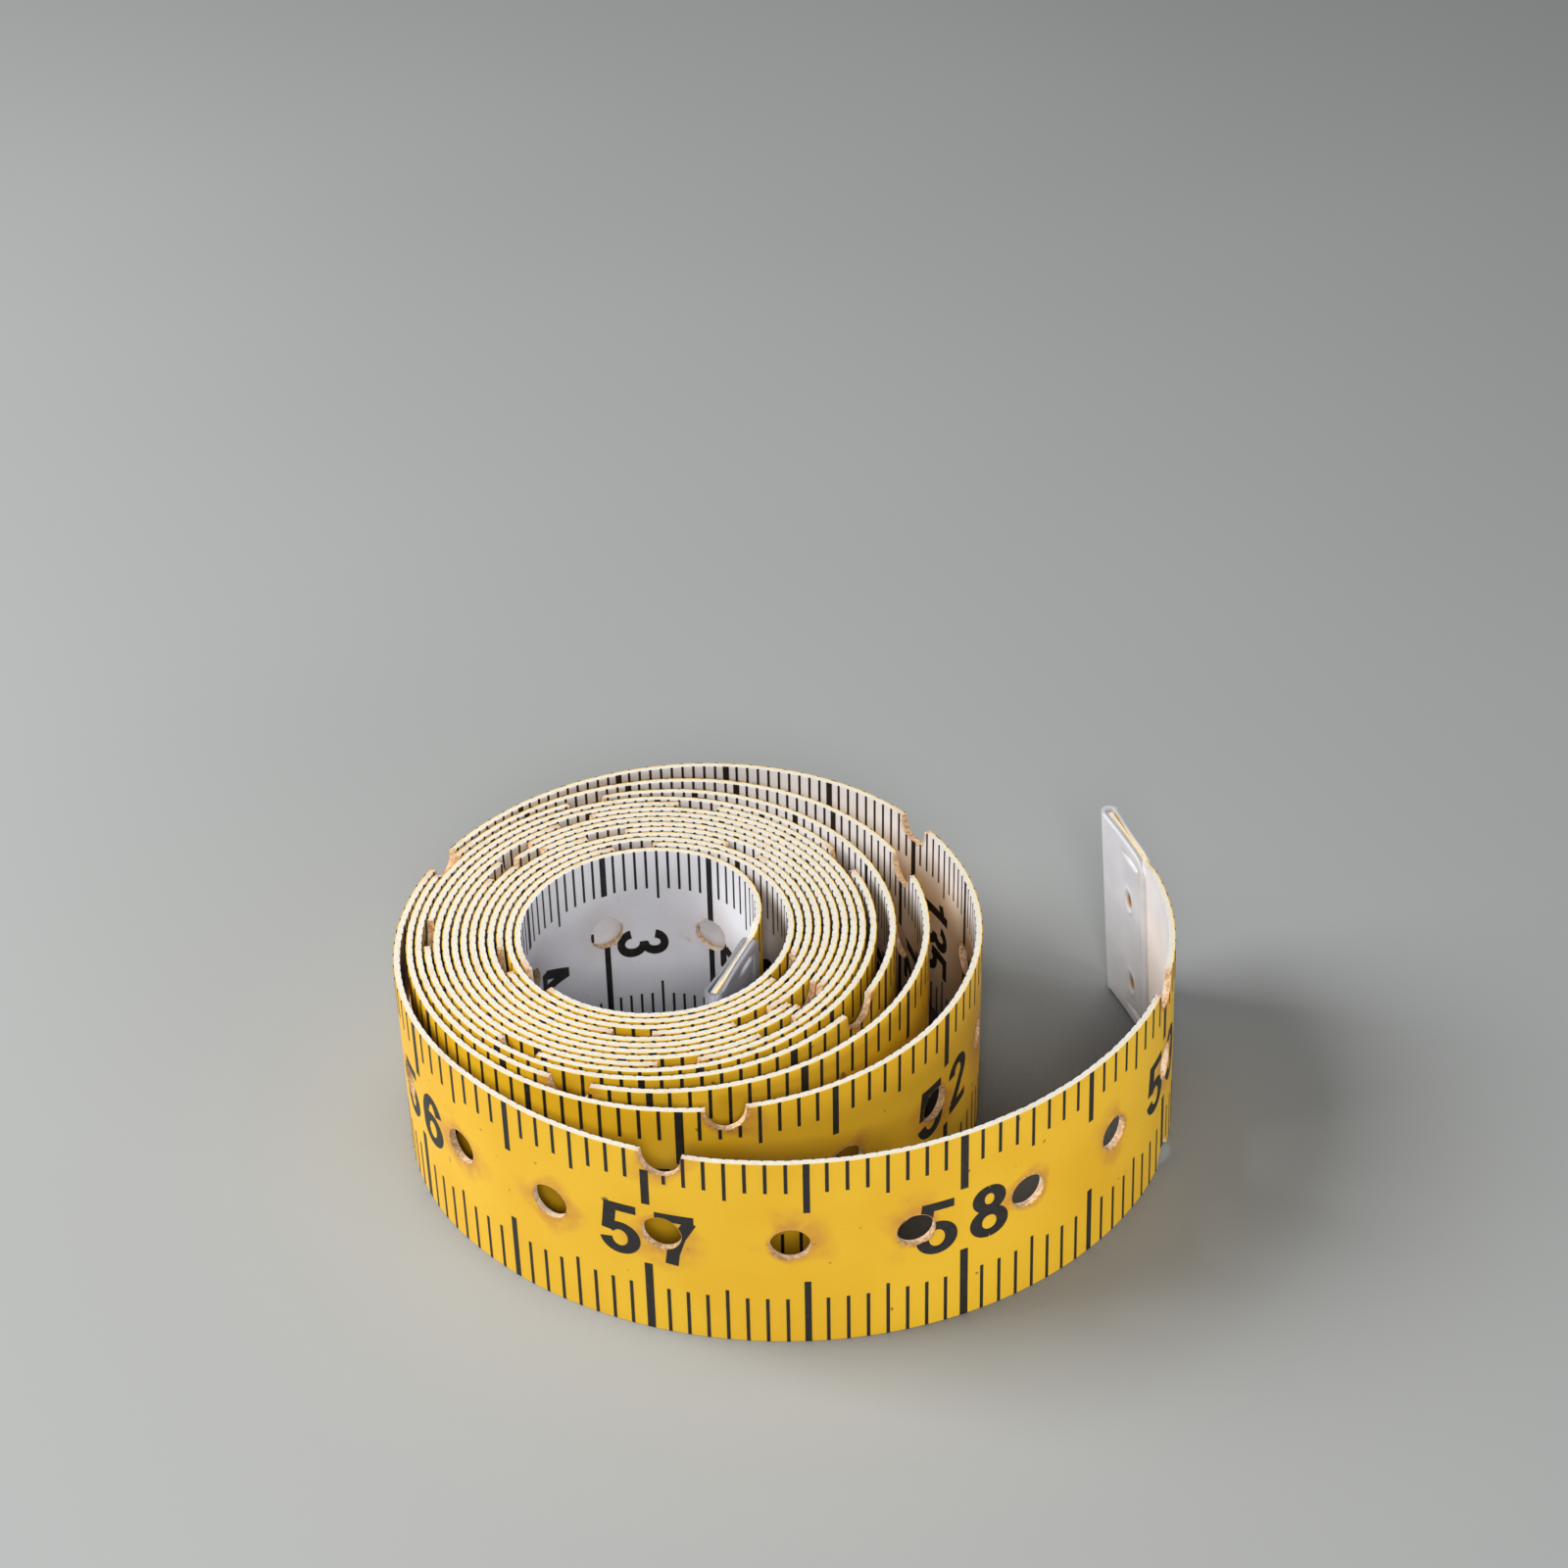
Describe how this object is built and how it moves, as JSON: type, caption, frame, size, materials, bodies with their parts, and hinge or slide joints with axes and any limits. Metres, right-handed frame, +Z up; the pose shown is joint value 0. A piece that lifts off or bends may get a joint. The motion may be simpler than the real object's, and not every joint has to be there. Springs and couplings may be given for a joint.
{
  "type": "cloth tape measure",
  "caption": "Tailor's tape measure wound into a loose coil standing on its edge, yellow inch face outside, white metric face inside, perforated, with a folded metal clip at each end.",
  "frame": {"origin": "middle of the base of the bounding box, on the surface that the lower edge of the tape stands on", "axes": "+Z up across the tape's width, +X along the longest side of the box, from the coil to the free end, +Y away from the picture's camera"},
  "size_m": [0.0658, 0.054, 0.0188],
  "materials": {
    "cloth": "cream woven glass cloth, matt",
    "yellow_vinyl": "warm yellow vinyl coat with printed black inch scale, satin",
    "white_vinyl": "warm white vinyl coat with printed black centimetre scale, satin",
    "bright_metal": "bright nickel-plated sheet"
  },
  "bodies": {
    "coil": {"coil_core": "cloth", "coil_yellow_coat": "yellow_vinyl", "coil_white_coat": "white_vinyl", "inner_clip": "bright_metal"},
    "link_1": {"tail_core_1": "cloth", "tail_yellow_coat_1": "yellow_vinyl", "tail_white_coat_1": "white_vinyl"},
    "link_2": {"tail_core_2": "cloth", "tail_yellow_coat_2": "yellow_vinyl", "tail_white_coat_2": "white_vinyl"},
    "link_3": {"tail_core_3": "cloth", "tail_yellow_coat_3": "yellow_vinyl", "tail_white_coat_3": "white_vinyl"},
    "link_4": {"tail_core_4": "cloth", "tail_yellow_coat_4": "yellow_vinyl", "tail_white_coat_4": "white_vinyl"},
    "link_5": {"tail_core_5": "cloth", "tail_yellow_coat_5": "yellow_vinyl", "tail_white_coat_5": "white_vinyl", "outer_clip": "bright_metal"}
  },
  "joints": [
    {"name": "tail_bend_1", "type": "hinge", "parent": "coil", "child": "link_1", "pos_m": [-0.02948, -0.01063, 0.0094], "axis": [0, 0, 1], "range_deg": [-28, 6], "stiffness_Nm_per_rad": 0.0001},
    {"name": "tail_bend_2", "type": "hinge", "parent": "link_1", "child": "link_2", "pos_m": [-0.01473, -0.02368, 0.0094], "axis": [0, 0, 1], "range_deg": [-28, 6], "stiffness_Nm_per_rad": 0.0001},
    {"name": "tail_bend_3", "type": "hinge", "parent": "link_2", "child": "link_3", "pos_m": [0.00479, -0.02644, 0.0094], "axis": [0, 0, 1], "range_deg": [-28, 6], "stiffness_Nm_per_rad": 0.0001},
    {"name": "tail_bend_4", "type": "hinge", "parent": "link_3", "child": "link_4", "pos_m": [0.02264, -0.01806, 0.0094], "axis": [0, 0, 1], "range_deg": [-28, 6], "stiffness_Nm_per_rad": 0.0001},
    {"name": "tail_bend_5", "type": "hinge", "parent": "link_4", "child": "link_5", "pos_m": [0.0324, -0.00106, 0.0094], "axis": [0, 0, 1], "range_deg": [-28, 6], "stiffness_Nm_per_rad": 0.0001}
  ],
  "couplings": [
    {"joint": "tail_bend_2", "follows": "tail_bend_1", "ratio": 1},
    {"joint": "tail_bend_3", "follows": "tail_bend_1", "ratio": 1},
    {"joint": "tail_bend_4", "follows": "tail_bend_1", "ratio": 1},
    {"joint": "tail_bend_5", "follows": "tail_bend_1", "ratio": 1}
  ]
}
